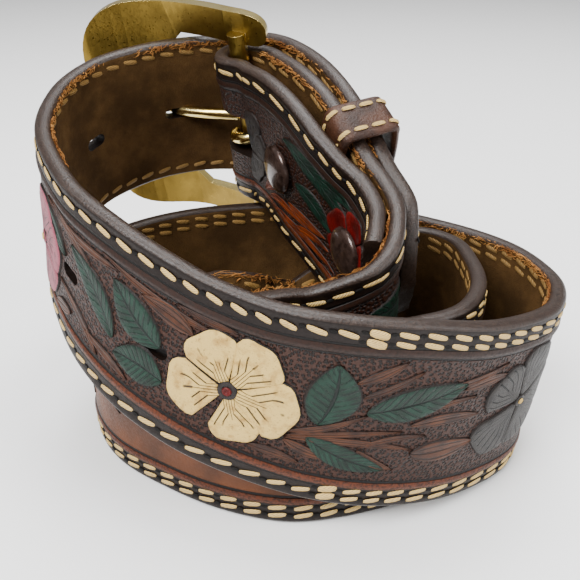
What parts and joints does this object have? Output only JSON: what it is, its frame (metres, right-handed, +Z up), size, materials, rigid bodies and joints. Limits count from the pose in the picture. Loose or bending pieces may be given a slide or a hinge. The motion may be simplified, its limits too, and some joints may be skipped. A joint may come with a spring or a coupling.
{
  "type": "western tooled belt",
  "caption": "Buckled, coiled leather strap with tooled flowers and leaves, tapered ends, heel bar buckle, wire tongue, keeper loop and snaps",
  "frame": {"origin": "centre of the base of the bounding box, on the floor that the coiled belt stands on", "axes": "+Z up, the coil's front with the flowers faces -Y, the buckle is at the back on the +Y side"},
  "size_m": [0.1148, 0.1024, 0.0945],
  "materials": {
    "strap": "tooled, dyed and burnished",
    "keeper_loop": "plain, stitched",
    "buckle_frame": "cast, polished rim",
    "tongue": "polished wire",
    "snap_1": "dark enamel",
    "snap_2": "dark enamel"
  },
  "bodies": {
    "root": {"strap": "strap", "keeper_loop": "keeper_loop", "buckle_frame": "buckle_frame", "tongue": "tongue", "snap_1": "snap_1", "snap_2": "snap_2"}
  },
  "joints": []
}
